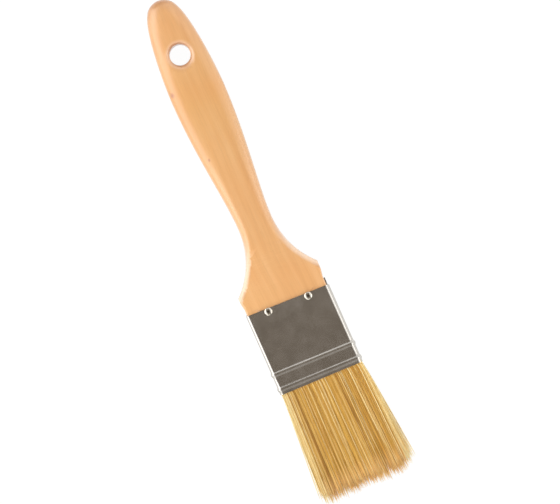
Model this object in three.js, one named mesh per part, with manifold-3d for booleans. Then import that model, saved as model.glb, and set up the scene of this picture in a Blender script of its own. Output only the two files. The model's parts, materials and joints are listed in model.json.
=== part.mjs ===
// Flat paint brush, 38 mm: a beech handle with a hanging hole, a wrapped steel ferrule that is
// nailed to it, and bristles set in resin round a spacer strip.
// The model is built lying down, in millimetres: X runs along the brush with the bristles at +X,
// Y runs across it, and the broad front face looks up +Z. x = 0 is the ferrule's mouth.

import * as THREE from 'three';
import { mergeGeometries, mergeVertices } from 'three/addons/utils/BufferGeometryUtils.js';
import Module from 'manifold-3d';

const wasm = await Module();
wasm.setup();

// ---------- Driving dimensions ----------

// Ferrule: one strip of sheet, wrapped round the brush and lapped on the +Y narrow side
const FERRULE_WIDTH = 38;
const FERRULE_THICKNESS = 13;
const FERRULE_LENGTH = 36.8;
const FERRULE_CORNER = 1.5;
const SHEET_THICKNESS = 0.4;
const LAP_LENGTH = 4.4;
const LAP_CLEARANCE = 0.08;
const LAP_JOG = 1.2; // length over which the strip's outer end steps in to the brush
const WRAP_CLIMB_MOUTH = 1.9; // how far the strip's mouth edge climbs in one turn
const WRAP_CLIMB_TOP = 3.5; // and its top edge
const BEAD_HEIGHT = 0.45;
const LOWER_BEAD = { centre: 2.3, width: 3.1 }; // measured up from the mouth
const UPPER_BEAD = { centre: 9.1, width: 2.9 };

// Handle
const HANDLE_LENGTH = 141.5; // what shows above the ferrule
const HEAD_WIDTH = 37.9;
const HEAD_THICKNESS = 12.2;
const HEAD_ABOVE_FERRULE = 10; // square head between the ferrule and the shoulders
const HEAD_CORNER = 1;
const TENON_DEPTH = 18.8; // how deep the handle sits in the ferrule
const FLARE_RADIUS = 36.7; // hollow curve from the shoulders to the waist
const WAIST_WIDTH = 15.6;
const WAIST_THICKNESS = 11.4;
const BELLY_WIDTH = 24.2;
const BELLY_THICKNESS = 11.8;
const BELLY_FROM_TIP = 43.3;
const TIP_RADIUS = 7.45;
const TIP_ARC = 55; // degrees of round on each side of the tip
const TIP_THICKNESS = 8;
// How long the outline's curves keep their ends' direction, as shares of each curve's length
const TIP_FULLNESS = 0.215;
const BELLY_FULLNESS_TO_TIP = 0.125;
const BELLY_FULLNESS_TO_WAIST = 0.415;
const WAIST_FULLNESS = 0.225;
const GRIP_OFFSET = 0.86; // the grip's centre line sits this far off the head's
const EDGE_ROUND_ACROSS = { belly: 6.6, head: 2.8 }; // rounding of the edges, across the face
const EDGE_ROUND_DEEP = 4; // and down the side
const HOLE_FROM_TIP = 25.5;
const HOLE_OFFSET = 0.45; // the hole's centre sits this far off the head's centre line
const HOLE_DIAMETER = 9.15;
const HOLE_MOUTH_DIAMETER = 13.6;

// Nails
const NAIL_SPACING = 18.5;
const NAIL_INSET = 1.4; // from the ferrule's top edge
const NAIL_HEAD_DIAMETER = 3.5;
const NAIL_HEAD_HEIGHT = 0.55;
const NAIL_SHANK_DIAMETER = 1.3;
const NAIL_LENGTH = 5.2;
const NAIL_BORE_CLEARANCE = 0.2;
const NAIL_SEAT = 0.05;

// Bristles and what holds their roots
const MOUTH_RECESS = 2.3; // the roots' bound part ends this far inside the mouth
const SETTING_LENGTH = 6.5;
const SPACER_THICKNESS = 1.4;
const SPACER_INSET = 4; // the strip is this much narrower than the bundle on each side
const BRISTLE_LENGTH = 49.7; // free length, from the mouth
const STRANDS_ACROSS = 46;
const STRAND_THICKNESS = 0.58;
const STRAND_TIP_THICKNESS = 0.4;
const STRAND_POINT = 5.5; // length of a strand's pointed end
const FAN_START = 0.6; // past the mouth: up to here the strands run nearly straight, then fan out
const TUFT_SWELL_AT = 8; // the tuft is thickest this far from the mouth
const TUFT_SWELL = 2.5; // and by there has widened this much on each side
const TUFT_SPREAD = 5.8; // how far it widens on each side by its tips
const TUFT_MID_THICKNESS = 11.6;
const TUFT_TIP_THICKNESS = 9.4;
const TUFT_LEAN = { swell: 0.7, tip: 1.25 }; // how far it stands off centre, towards +Y
const RAGGED_TIPS = 3.2; // spread of the tips' lengths
const WORN_CORNER = 4.2; // how much shorter the outermost tips are on the +Y side
const WORN_FAR_CORNER = 1.7; // and on the -Y side
const WORN_WIDTH = 4.4; // how far in from the side the wear reaches
const STRAND_WANDER = 0.14; // how far a strand strays across the tuft, side to side
const LAYER_WANDER = 0.7; // and through its thickness

const FIT_CLEARANCE = 0.2; // wood and bound bristles in the ferrule
const PIECE_GAP = 0.3; // between pieces stacked inside the ferrule

// ---------- Values that follow ----------

const topX = -FERRULE_LENGTH;
const tipX = topX - HANDLE_LENGTH;
const boreHalfWidth = FERRULE_WIDTH / 2 - SHEET_THICKNESS - FIT_CLEARANCE;
const boreHalfThickness = FERRULE_THICKNESS / 2 - SHEET_THICKNESS - FIT_CLEARANCE;
const boreCorner = FERRULE_CORNER - SHEET_THICKNESS - FIT_CLEARANCE;
const shoulderX = topX - HEAD_ABOVE_FERRULE;
const flareRise = (HEAD_WIDTH - WAIST_WIDTH) / 2;
const flareRun = Math.sqrt(FLARE_RADIUS ** 2 - (FLARE_RADIUS - flareRise) ** 2);
const waistX = shoulderX - flareRun;
const bellyX = tipX + BELLY_FROM_TIP;
const tenonEndX = topX + TENON_DEPTH;
const settingStartX = tenonEndX + PIECE_GAP;
const settingEndX = settingStartX + SETTING_LENGTH;
const backingStartX = settingEndX + PIECE_GAP;
const backingEndX = -MOUTH_RECESS;

// ---------- Solids: lofts, and joins and cuts ----------

function toSolid(geometry) {
  const bare = geometry.clone();
  bare.deleteAttribute('normal');
  bare.deleteAttribute('uv');
  const merged = mergeVertices(bare);
  const mesh = new wasm.Mesh({
    numProp: 3,
    vertProperties: new Float32Array(merged.attributes.position.array),
    triVerts: new Uint32Array(merged.index.array),
  });
  return new wasm.Manifold(mesh);
}

function toGeometry(solid) {
  const mesh = solid.getMesh();
  const geometry = new THREE.BufferGeometry();
  geometry.setAttribute('position', new THREE.BufferAttribute(mesh.vertProperties, 3));
  geometry.setIndex(new THREE.BufferAttribute(mesh.triVerts, 1));
  geometry.computeVertexNormals();
  return geometry;
}

function geometryOf(points, triangles) {
  const geometry = new THREE.BufferGeometry();
  geometry.setFromPoints(points);
  geometry.setIndex(triangles);
  return geometry;
}

// Skins a row of rings that run along +X. Each ring holds as many [x, y, z] points, in order
// from +Y to +Z, and both ends are closed to a centre point.
function loft(rings, startCentre, endCentre) {
  const count = rings[0].length;
  const points = rings.flat().map((p) => new THREE.Vector3(...p));
  const triangles = [];
  for (let ring = 0; ring < rings.length - 1; ring++) {
    for (let i = 0; i < count; i++) {
      const next = (i + 1) % count;
      const a = ring * count + i;
      const b = ring * count + next;
      triangles.push(a, b, b + count, a, b + count, a + count);
    }
  }
  const start = points.push(new THREE.Vector3(...startCentre)) - 1;
  const end = points.push(new THREE.Vector3(...endCentre)) - 1;
  const last = (rings.length - 1) * count;
  for (let i = 0; i < count; i++) {
    const next = (i + 1) % count;
    triangles.push(start, next, i);
    triangles.push(end, last + i, last + next);
  }
  return geometryOf(points, triangles);
}

// A rectangle with elliptical corners, as [y, z] points from +Y to +Z
function roundedSection(halfWidth, halfThickness, roundY, roundZ, steps) {
  const section = [];
  const corners = [[1, 1], [-1, 1], [-1, -1], [1, -1]];
  corners.forEach(([sideY, sideZ], quarter) => {
    for (let i = 0; i <= steps; i++) {
      const angle = (quarter + i / steps) * Math.PI / 2;
      section.push([
        sideY * (halfWidth - roundY) + roundY * Math.cos(angle),
        sideZ * (halfThickness - roundZ) + roundZ * Math.sin(angle),
      ]);
    }
  });
  return section;
}

function sectionRing(x, centreY, section) {
  return section.map(([y, z]) => [x, centreY + y, z]);
}

// A straight or tapered bar of rounded section, from stations along X
function roundedBar(stations, steps) {
  const rings = stations.map((s) => {
    const section = roundedSection(s.halfWidth, s.halfThickness, s.corner, s.corner, steps);
    return sectionRing(s.x, 0, section);
  });
  return loft(rings, [stations[0].x, 0, 0], [stations.at(-1).x, 0, 0]);
}

// A path's curves, without the empty joining lines that an arc's start can leave between them
function curvesOf(path) {
  const shortest = 1e-6;
  return path.curves.filter((curve) => curve.getLength() > shortest);
}

// ---------- The wrapped strip, shared by the ferrule and the nails ----------

const FERRULE_CORNER_STEPS = 7;
const BEAD_STEPS = 8;

// The strip's path round the brush, in (y, z), from its covered end to its lapped end
function ferrulePath() {
  const halfWidth = FERRULE_WIDTH / 2;
  const flatWidth = halfWidth - FERRULE_CORNER;
  const flatThickness = FERRULE_THICKNESS / 2 - FERRULE_CORNER;
  const lapLift = SHEET_THICKNESS + LAP_CLEARANCE;
  const lapStart = -LAP_LENGTH / 2;
  const lapEnd = LAP_LENGTH / 2;
  const jogStart = lapEnd + LAP_CLEARANCE;
  const jogEnd = Math.min(jogStart + LAP_JOG, flatThickness - LAP_CLEARANCE);
  const jogMiddle = (jogStart + jogEnd) / 2;
  const quarter = Math.PI / 2;
  const path = new THREE.Path();
  path.moveTo(halfWidth + lapLift, lapStart);
  path.lineTo(halfWidth + lapLift, jogStart);
  path.bezierCurveTo(halfWidth + lapLift, jogMiddle, halfWidth, jogMiddle, halfWidth, jogEnd);
  path.lineTo(halfWidth, flatThickness);
  path.absarc(flatWidth, flatThickness, FERRULE_CORNER, 0, quarter, false);
  path.lineTo(-flatWidth, FERRULE_THICKNESS / 2);
  path.absarc(-flatWidth, flatThickness, FERRULE_CORNER, quarter, 2 * quarter, false);
  path.lineTo(-halfWidth, -flatThickness);
  path.absarc(-flatWidth, -flatThickness, FERRULE_CORNER, 2 * quarter, 3 * quarter, false);
  path.lineTo(flatWidth, -FERRULE_THICKNESS / 2);
  path.absarc(flatWidth, -flatThickness, FERRULE_CORNER, 3 * quarter, 4 * quarter, false);
  path.lineTo(halfWidth, lapEnd);
  return path;
}

// Stations along the path: place, outward normal and run (the length of strip up to there)
function stripStations() {
  const stations = [];
  let curveStart = 0;
  for (const curve of curvesOf(ferrulePath())) {
    const steps = curve.isLineCurve ? 1 : FERRULE_CORNER_STEPS;
    for (let i = stations.length ? 1 : 0; i <= steps; i++) {
      const tangent = curve.getTangent(i / steps);
      stations.push({
        point: curve.getPoint(i / steps),
        normal: new THREE.Vector2(tangent.y, -tangent.x),
        run: curveStart + curve.getLength() * i / steps,
      });
    }
    curveStart += curve.getLength();
  }
  return stations;
}

const strip = stripStations();
const flatAcross = FERRULE_WIDTH - 2 * FERRULE_CORNER;
const flatDown = FERRULE_THICKNESS - 2 * FERRULE_CORNER;
const cornerRun = FERRULE_CORNER * Math.PI / 2;
const turn = 2 * (flatAcross + flatDown) + 4 * cornerRun;
const frontRun = (LAP_LENGTH + flatDown + flatAcross) / 2 + cornerRun; // to the front's middle
const backRun = frontRun + turn / 2;

// Where a point of the strip comes along X: up from the mouth, and with the strip's climb
function stripX(up, run) {
  const climb = THREE.MathUtils.lerp(WRAP_CLIMB_MOUTH, WRAP_CLIMB_TOP, up / FERRULE_LENGTH);
  return -up - climb * (run - frontRun) / turn;
}

function beadProfile({ centre, width }) {
  const profile = [];
  for (let i = 0; i <= BEAD_STEPS; i++) {
    const across = i / BEAD_STEPS;
    profile.push({
      up: centre + (across - 0.5) * width,
      height: BEAD_HEIGHT * (1 - Math.cos(2 * Math.PI * across)) / 2,
    });
  }
  return profile;
}

// ---------- Ferrule ----------

// Thickens a grid of outer points into a sheet, and closes its four borders
function sheetSolid(outer, inner) {
  const rows = outer.length;
  const columns = outer[0].length;
  const points = [...outer.flat(), ...inner.flat()];
  const at = (side, row, column) => side * rows * columns + row * columns + column;
  const triangles = [];
  const quad = (a, b, c, d) => triangles.push(a, b, c, a, c, d);
  for (let r = 0; r < rows - 1; r++) {
    for (let c = 0; c < columns - 1; c++) {
      quad(at(0, r, c), at(0, r, c + 1), at(0, r + 1, c + 1), at(0, r + 1, c));
      quad(at(1, r, c), at(1, r + 1, c), at(1, r + 1, c + 1), at(1, r, c + 1));
    }
    quad(at(0, r, 0), at(0, r + 1, 0), at(1, r + 1, 0), at(1, r, 0));
    const c = columns - 1;
    quad(at(0, r, c), at(1, r, c), at(1, r + 1, c), at(0, r + 1, c));
  }
  for (let c = 0; c < columns - 1; c++) {
    quad(at(0, 0, c), at(1, 0, c), at(1, 0, c + 1), at(0, 0, c + 1));
    const r = rows - 1;
    quad(at(0, r, c), at(0, r, c + 1), at(1, r, c + 1), at(1, r, c));
  }
  return geometryOf(points, triangles);
}

function ferruleSheet() {
  const nailRow = NAIL_INSET + NAIL_HEAD_DIAMETER;
  const profile = [
    { up: 0, height: 0 },
    ...beadProfile(LOWER_BEAD),
    ...beadProfile(UPPER_BEAD),
    { up: FERRULE_LENGTH - nailRow, height: 0 },
    { up: FERRULE_LENGTH, height: 0 },
  ];
  const fadeStart = LAP_LENGTH + LAP_CLEARANCE;
  const fadeEnd = fadeStart + FERRULE_CORNER;
  const endRun = strip.at(-1).run;
  const layer = (depth) => strip.map(({ point, normal, run }) => {
    // the beads are pressed flat where the lap covers them
    const fade = THREE.MathUtils.smoothstep(endRun - run, fadeStart, fadeEnd);
    return profile.map(({ up, height }) => {
      const lift = height * fade - depth;
      return new THREE.Vector3(
        stripX(up, run),
        point.x + normal.x * lift,
        point.y + normal.y * lift,
      );
    });
  });
  return sheetSolid(layer(0), layer(SHEET_THICKNESS));
}

// ---------- Nails ----------

const NAIL_STEPS = 14;

// Centres of the four nails on the ferrule's outer faces
const nailSeats = [];
for (const face of ['front', 'back']) {
  for (const side of ['left', 'right']) {
    const y = (side === 'left' ? -1 : 1) * NAIL_SPACING / 2;
    const up = FERRULE_LENGTH - NAIL_INSET;
    const run = face === 'front' ? frontRun - y : backRun + y;
    const outward = face === 'front' ? 1 : -1;
    nailSeats.push({ name: `nail_${face}_${side}`, x: stripX(up, run), y, outward });
  }
}

// A nail standing point down, its head's underside at z = 0
function nailGeometry() {
  const headRadius = NAIL_HEAD_DIAMETER / 2;
  const shankRadius = NAIL_SHANK_DIAMETER / 2;
  const rim = NAIL_HEAD_HEIGHT / 4;
  const domeHeight = NAIL_HEAD_HEIGHT - rim;
  const domeRadius = (headRadius ** 2 + domeHeight ** 2) / (2 * domeHeight);
  const domeSteps = 5;
  const profile = [
    new THREE.Vector2(0, -NAIL_LENGTH),
    new THREE.Vector2(shankRadius, -NAIL_LENGTH + NAIL_SHANK_DIAMETER),
    new THREE.Vector2(shankRadius, 0),
    new THREE.Vector2(headRadius, 0),
  ];
  for (let i = 0; i <= domeSteps; i++) {
    const radius = headRadius * (1 - i / domeSteps);
    const height = Math.sqrt(domeRadius ** 2 - radius ** 2) - (domeRadius - domeHeight);
    profile.push(new THREE.Vector2(radius, rim + height));
  }
  return new THREE.LatheGeometry(profile, NAIL_STEPS).rotateX(Math.PI / 2);
}

// The cutter that makes a nail's hole in the sheet and its bore in the wood
function nailBore() {
  const radius = NAIL_SHANK_DIAMETER / 2 + NAIL_BORE_CLEARANCE;
  const depth = NAIL_LENGTH + NAIL_BORE_CLEARANCE;
  const above = NAIL_HEAD_HEIGHT;
  const cutter = new THREE.CylinderGeometry(radius, radius, depth + above, NAIL_STEPS);
  return cutter.rotateX(Math.PI / 2).translate(0, 0, (above - depth) / 2);
}

function placeAtSeat(geometry, seat, seatHeight) {
  if (seat.outward < 0) geometry.rotateX(Math.PI);
  return geometry.translate(seat.x, seat.y, seat.outward * seatHeight);
}

const nailBores = toSolid(mergeGeometries(
  nailSeats.map((seat) => placeAtSeat(nailBore(), seat, FERRULE_THICKNESS / 2)),
));

// ---------- Handle ----------

const EDGE_STEPS = 5;
const HOLE_STEPS = 32;

// Half of the handle's outline in plan, from the tip to past the shoulders
function gripOutline() {
  const arc = THREE.MathUtils.degToRad(TIP_ARC);
  const bellyHalf = BELLY_WIDTH / 2;
  const waistHalf = WAIST_WIDTH / 2;
  const arcEnd = new THREE.Vector2(
    tipX + TIP_RADIUS * (1 - Math.cos(arc)),
    TIP_RADIUS * Math.sin(arc),
  );
  const toBelly = bellyX - arcEnd.x;
  const tipPull = TIP_FULLNESS * toBelly;
  const bellyPullBack = BELLY_FULLNESS_TO_TIP * toBelly;
  const bellyPull = BELLY_FULLNESS_TO_WAIST * (waistX - bellyX);
  const waistPull = WAIST_FULLNESS * (waistX - bellyX);
  const flareStart = -Math.PI / 2;
  const flareEnd = -Math.PI / 9; // past the shoulders, where the head's sides cut it off
  const outline = new THREE.Path();
  outline.moveTo(tipX, 0);
  outline.absarc(tipX + TIP_RADIUS, 0, TIP_RADIUS, Math.PI, Math.PI - arc, true);
  outline.bezierCurveTo(
    arcEnd.x + tipPull * Math.sin(arc), arcEnd.y + tipPull * Math.cos(arc),
    bellyX - bellyPullBack, bellyHalf,
    bellyX, bellyHalf,
  );
  outline.bezierCurveTo(
    bellyX + bellyPull, bellyHalf,
    waistX - waistPull, waistHalf,
    waistX, waistHalf,
  );
  outline.absarc(waistX, waistHalf + FLARE_RADIUS, FLARE_RADIUS, flareStart, flareEnd, false);
  return outline;
}

// Half-width of the flat face at x: the outline drawn in by the edge rounding
function flatHalfWidth(inset, x) {
  if (x <= inset[0].x) return 0;
  const after = inset.findIndex((p) => p.x > x);
  if (after < 0) return inset.at(-1).y;
  const from = inset[after - 1];
  const to = inset[after];
  return from.y + (to.y - from.y) * (x - from.x) / (to.x - from.x);
}

// Half-thickness along the handle, easing from tip to belly to waist to head
function halfThicknessAt(x) {
  const proud = HEAD_CORNER; // the head's own faces trim this off
  const stops = [
    { x: tipX, half: TIP_THICKNESS / 2 },
    { x: bellyX, half: BELLY_THICKNESS / 2 },
    { x: waistX, half: WAIST_THICKNESS / 2 },
    { x: shoulderX, half: HEAD_THICKNESS / 2 + proud },
  ];
  const after = stops.findIndex((stop) => stop.x > x);
  if (after < 1) return after < 0 ? stops.at(-1).half : stops[0].half;
  const from = stops[after - 1];
  const to = stops[after];
  return THREE.MathUtils.lerp(from.half, to.half, THREE.MathUtils.smoothstep(x, from.x, to.x));
}

// How far the edge rounding reaches across the face: wide on the grip, narrower towards the head
function edgeRoundAt(x) {
  const towardsHead = THREE.MathUtils.smoothstep(x, bellyX, shoulderX);
  return THREE.MathUtils.lerp(EDGE_ROUND_ACROSS.belly, EDGE_ROUND_ACROSS.head, towardsHead);
}

// The grip with its rounded edges, flaring out past the width of the head
function gripBoard() {
  const outline = gripOutline();
  const curveSteps = [9, 14, 16, 22]; // tip, tip to belly, belly to waist, flare
  const stations = [];
  const inset = [];
  curvesOf(outline).forEach((curve, index) => {
    for (let i = 1; i <= curveSteps[index]; i++) stations.push(curve.getPoint(i / curveSteps[index]));
    const fine = 4 * curveSteps[index];
    for (let i = 0; i < fine; i++) {
      const point = curve.getPoint(i / fine);
      const tangent = curve.getTangent(i / fine);
      const drawn = new THREE.Vector2(tangent.y, -tangent.x)
        .multiplyScalar(edgeRoundAt(point.x))
        .add(point);
      if (!inset.length || drawn.x > inset.at(-1).x) inset.push(drawn);
    }
  });
  stations.push(new THREE.Vector2(tenonEndX + TENON_DEPTH / 2, stations.at(-1).y));
  const rings = stations.map(({ x, y: halfWidth }) => {
    const face = Math.max(Math.min(flatHalfWidth(inset, x), halfWidth), 0);
    const fromTip = Math.min((x - tipX) / EDGE_ROUND_ACROSS.belly, 1);
    const full = halfThicknessAt(x);
    const round = Math.min(EDGE_ROUND_DEEP, full);
    const halfThickness = full - round * (1 - Math.sqrt(1 - (1 - fromTip) ** 2));
    const roundZ = Math.min(round, halfThickness);
    const section = roundedSection(halfWidth, halfThickness, halfWidth - face, roundZ, EDGE_STEPS);
    return sectionRing(x, GRIP_OFFSET, section);
  });
  return loft(rings, [tipX, GRIP_OFFSET, 0], [rings.at(-1)[0][0], GRIP_OFFSET, 0]);
}

// The blank that gives the head its square sides and the tenon its fit in the ferrule
function headBlank() {
  const coveredX = topX - WRAP_CLIMB_TOP;
  const taperX = (coveredX + shoulderX) / 2;
  const head = { halfWidth: HEAD_WIDTH / 2, halfThickness: HEAD_THICKNESS / 2, corner: HEAD_CORNER };
  const tenon = { halfWidth: boreHalfWidth, halfThickness: boreHalfThickness, corner: boreCorner };
  return roundedBar([
    { x: tipX - HEAD_CORNER, ...head },
    { x: taperX, ...head },
    { x: coveredX, ...tenon },
    { x: tenonEndX, ...tenon },
  ], FERRULE_CORNER_STEPS);
}

// The hanging hole, with its edges eased over on both faces
function hangingHole() {
  const x = tipX + HOLE_FROM_TIP;
  const half = halfThicknessAt(x);
  const throat = HOLE_DIAMETER / 2;
  const ease = (HOLE_MOUTH_DIAMETER - HOLE_DIAMETER) / 2;
  const easeAngle = THREE.MathUtils.degToRad(68);
  const easeSteps = 6;
  const beyond = 1.5;
  const upper = [];
  for (let i = 0; i <= easeSteps; i++) {
    const angle = easeAngle * i / easeSteps;
    upper.push(new THREE.Vector2(
      throat + ease * (1 - Math.cos(angle)),
      half - ease + ease * Math.sin(angle),
    ));
  }
  const run = beyond * Math.tan(easeAngle);
  upper.push(new THREE.Vector2(upper.at(-1).x + run, upper.at(-1).y + beyond));
  const lower = upper.map((p) => new THREE.Vector2(p.x, -p.y)).reverse();
  const end = upper.at(-1).y;
  const profile = [new THREE.Vector2(0, -end), ...lower, ...upper, new THREE.Vector2(0, end)];
  return new THREE.LatheGeometry(profile, HOLE_STEPS).rotateX(Math.PI / 2).translate(x, HOLE_OFFSET, 0);
}

function handleSolid() {
  const shaped = toSolid(gripBoard()).intersect(toSolid(headBlank()));
  return shaped.subtract(toSolid(hangingHole())).subtract(nailBores);
}

// ---------- Root setting and spacer strip ----------

function boreBar(startX, endX) {
  const section = { halfWidth: boreHalfWidth, halfThickness: boreHalfThickness, corner: boreCorner };
  return roundedBar([{ x: startX, ...section }, { x: endX, ...section }], FERRULE_CORNER_STEPS);
}

function spacerStrip() {
  const length = backingEndX - backingStartX;
  const width = 2 * (boreHalfWidth - SPACER_INSET);
  return new THREE.BoxGeometry(length, width, SPACER_THICKNESS)
    .translate((backingStartX + backingEndX) / 2, 0, 0);
}

// ---------- Bristles ----------

const LAYERS = [
  'bristles_front_outer',
  'bristles_front_inner',
  'bristles_back_inner',
  'bristles_back_outer',
];
const ROWS_PER_LAYER = 2;
const rowCount = LAYERS.length * ROWS_PER_LAYER;
const shared = 2 * boreHalfThickness - SPACER_THICKNESS - LAYERS.length * PIECE_GAP;
const layerThickness = shared / LAYERS.length;
const rowPitch = layerThickness / ROWS_PER_LAYER;

// Middle of a layer's bound roots: the layers lie on both sides of the spacer strip
function layerCentre(layer) {
  const pairs = LAYERS.length / 2;
  const outward = layer < pairs ? 1 : -1;
  const fromMiddle = layer < pairs ? pairs - 1 - layer : layer - pairs;
  const first = SPACER_THICKNESS / 2 + PIECE_GAP + layerThickness / 2;
  return outward * (first + fromMiddle * (layerThickness + PIECE_GAP));
}

// Half-width of the ferrule's bore at a height z, less its rounded corners
function boreHalfWidthAt(z) {
  const intoCorner = Math.max(Math.abs(z) - (boreHalfThickness - boreCorner), 0);
  return boreHalfWidth - boreCorner + Math.sqrt(Math.max(boreCorner ** 2 - intoCorner ** 2, 0));
}

// Half-size of the tuft at x, to the middles of its outermost strands
function tuftHalfWidth(x) {
  const pastSwell = (x - TUFT_SWELL_AT) / (BRISTLE_LENGTH - TUFT_SWELL_AT);
  const widened = THREE.MathUtils.lerp(TUFT_SWELL, TUFT_SPREAD, pastSwell);
  return boreHalfWidth - STRAND_THICKNESS + widened;
}

function tuftHalfThickness(x) {
  const pastSwell = (x - TUFT_SWELL_AT) / (BRISTLE_LENGTH - TUFT_SWELL_AT);
  return (THREE.MathUtils.lerp(TUFT_MID_THICKNESS, TUFT_TIP_THICKNESS, pastSwell) - STRAND_THICKNESS) / 2;
}

// How much shorter the strands are near the tuft's two corners
function wear(y) {
  const half = tuftHalfWidth(BRISTLE_LENGTH);
  const near = WORN_CORNER * THREE.MathUtils.smoothstep(y, half - WORN_WIDTH, half);
  const far = WORN_FAR_CORNER * THREE.MathUtils.smoothstep(-y, half - WORN_WIDTH, half);
  return near + far;
}

// One three-sided strand, from inside the bound roots to its tip. The whole tuft spreads alike
// and a strand strays less than its neighbours' distance, so none cross.
function strand(layer, row, column) {
  const rowIndex = layer * ROWS_PER_LAYER + row;
  const across = (2 * column + 1 + (rowIndex % 2 ? 0.5 : -0.5)) / STRANDS_ACROSS - 1;
  const through = 1 - 2 * rowIndex / (rowCount - 1);
  let draws = 0;
  const stray = (range) => {
    draws++;
    const seed = (rowIndex * STRANDS_ACROSS + column) * 10 + draws;
    return range * (THREE.MathUtils.seededRandom(seed) - 0.5);
  };
  const rootZ = layerCentre(layer) + (0.5 - row) * rowPitch;
  const boreHalf = boreHalfWidthAt(Math.abs(rootZ) + STRAND_THICKNESS / 2);
  const root = new THREE.Vector3(
    backingEndX - STRAND_THICKNESS,
    across * (boreHalf - STRAND_THICKNESS),
    rootZ,
  );
  const mouth = new THREE.Vector3(FAN_START, across * (boreHalf - STRAND_THICKNESS / 2), rootZ);
  const endX = BRISTLE_LENGTH - wear(across * tuftHalfWidth(BRISTLE_LENGTH)) + stray(RAGGED_TIPS);
  const spreadPoint = (x, lean) => new THREE.Vector3(
    x,
    across * tuftHalfWidth(x) + lean + stray(STRAND_WANDER),
    through * tuftHalfThickness(x) + stray(LAYER_WANDER),
  );
  const swell = spreadPoint(TUFT_SWELL_AT, TUFT_LEAN.swell);
  const neck = spreadPoint(endX - STRAND_POINT, TUFT_LEAN.tip);
  const tip = spreadPoint(endX, TUFT_LEAN.tip);
  const twist = stray(2 * Math.PI);
  const ring = (centre, thickness) => [0, 1, 2].map((corner) => {
    const angle = twist + corner * 2 * Math.PI / 3;
    const radius = thickness / Math.sqrt(3);
    return [centre.x, centre.y + radius * Math.cos(angle), centre.z + radius * Math.sin(angle)];
  });
  const rings = [
    ring(root, STRAND_THICKNESS),
    ring(mouth, STRAND_THICKNESS),
    ring(swell, STRAND_THICKNESS),
    ring(neck, STRAND_TIP_THICKNESS),
  ];
  return loft(rings, root.toArray(), tip.toArray());
}

function bristleLayer(layer) {
  const slab = new THREE.BoxGeometry(backingEndX - backingStartX, 2 * FERRULE_WIDTH, layerThickness)
    .translate((backingStartX + backingEndX) / 2, 0, layerCentre(layer));
  const boundRoots = toSolid(boreBar(backingStartX - 1, backingEndX + 1)).intersect(toSolid(slab));
  const strands = [];
  for (let row = 0; row < ROWS_PER_LAYER; row++) {
    for (let column = 0; column < STRANDS_ACROSS; column++) strands.push(strand(layer, row, column));
  }
  return boundRoots.add(toSolid(mergeGeometries(strands)));
}

// ---------- Materials ----------

const lacqueredBeech = new THREE.MeshStandardMaterial({ color: 0xeeb67a, roughness: 0.4, metalness: 0 });
const tinnedSteel = new THREE.MeshStandardMaterial({ color: 0xb9b4ac, roughness: 0.25, metalness: 1 });
const brightNail = new THREE.MeshStandardMaterial({ color: 0xd8d4cc, roughness: 0.15, metalness: 1 });
const settingResin = new THREE.MeshStandardMaterial({ color: 0x9c6b2e, roughness: 0.5, metalness: 0 });
const spacerWood = new THREE.MeshStandardMaterial({ color: 0xd9b98c, roughness: 0.8, metalness: 0 });
const paleBristle = new THREE.MeshStandardMaterial({ color: 0xcda352, roughness: 0.5, metalness: 0 });

// ---------- Assembly ----------

const brush = new THREE.Group();

function addPiece(name, geometry, material) {
  const mesh = new THREE.Mesh(geometry, material);
  mesh.name = name;
  brush.add(mesh);
  return mesh;
}

addPiece('handle', toGeometry(handleSolid()), lacqueredBeech);
addPiece('ferrule', toGeometry(toSolid(ferruleSheet()).subtract(nailBores)), tinnedSteel);
for (const seat of nailSeats) {
  const nail = addPiece(seat.name, nailGeometry(), brightNail);
  nail.position.set(seat.x, seat.y, seat.outward * (FERRULE_THICKNESS / 2 + NAIL_SEAT));
  if (seat.outward < 0) nail.rotation.x = Math.PI;
}
addPiece('root_setting', boreBar(settingStartX, settingEndX), settingResin);
addPiece('spacer_strip', spacerStrip(), spacerWood);
LAYERS.forEach((name, layer) => addPiece(name, toGeometry(bristleLayer(layer)), paleBristle));

// The origin is under the middle of the brush, on the surface that it lies on
const bounds = new THREE.Box3().setFromObject(brush);
const middle = bounds.getCenter(new THREE.Vector3());
brush.position.set(-middle.x, -middle.y, -bounds.min.z);

export default brush;
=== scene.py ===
import json
import math

import bpy
import numpy as np
from mathutils import Matrix, Vector


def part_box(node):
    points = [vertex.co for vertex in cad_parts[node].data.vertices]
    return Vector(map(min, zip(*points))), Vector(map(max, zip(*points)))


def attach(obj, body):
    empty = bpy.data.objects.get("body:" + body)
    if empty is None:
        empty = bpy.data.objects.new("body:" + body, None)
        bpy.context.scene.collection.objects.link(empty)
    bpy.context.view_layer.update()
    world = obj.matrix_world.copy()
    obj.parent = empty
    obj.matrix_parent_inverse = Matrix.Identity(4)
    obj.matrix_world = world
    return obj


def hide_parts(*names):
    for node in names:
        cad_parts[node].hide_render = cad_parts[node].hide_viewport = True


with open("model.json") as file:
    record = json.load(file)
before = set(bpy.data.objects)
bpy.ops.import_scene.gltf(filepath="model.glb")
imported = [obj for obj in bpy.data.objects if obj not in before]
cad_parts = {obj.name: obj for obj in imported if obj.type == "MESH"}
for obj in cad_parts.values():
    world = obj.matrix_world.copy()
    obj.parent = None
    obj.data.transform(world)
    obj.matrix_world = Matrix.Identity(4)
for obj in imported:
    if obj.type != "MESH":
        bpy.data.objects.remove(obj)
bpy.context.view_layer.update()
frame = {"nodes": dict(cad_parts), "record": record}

# Flat paint brush: a lacquered beech handle, a nailed ferrule of tinned steel and a tuft of pale
# bristles. Everything is in metres in the frame's own axes: X along the brush with the bristles at
# +X, Y across it, and the broad front face up at +Z.

MM = 0.001
scene = bpy.context.scene
nodes = frame["nodes"]

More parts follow.
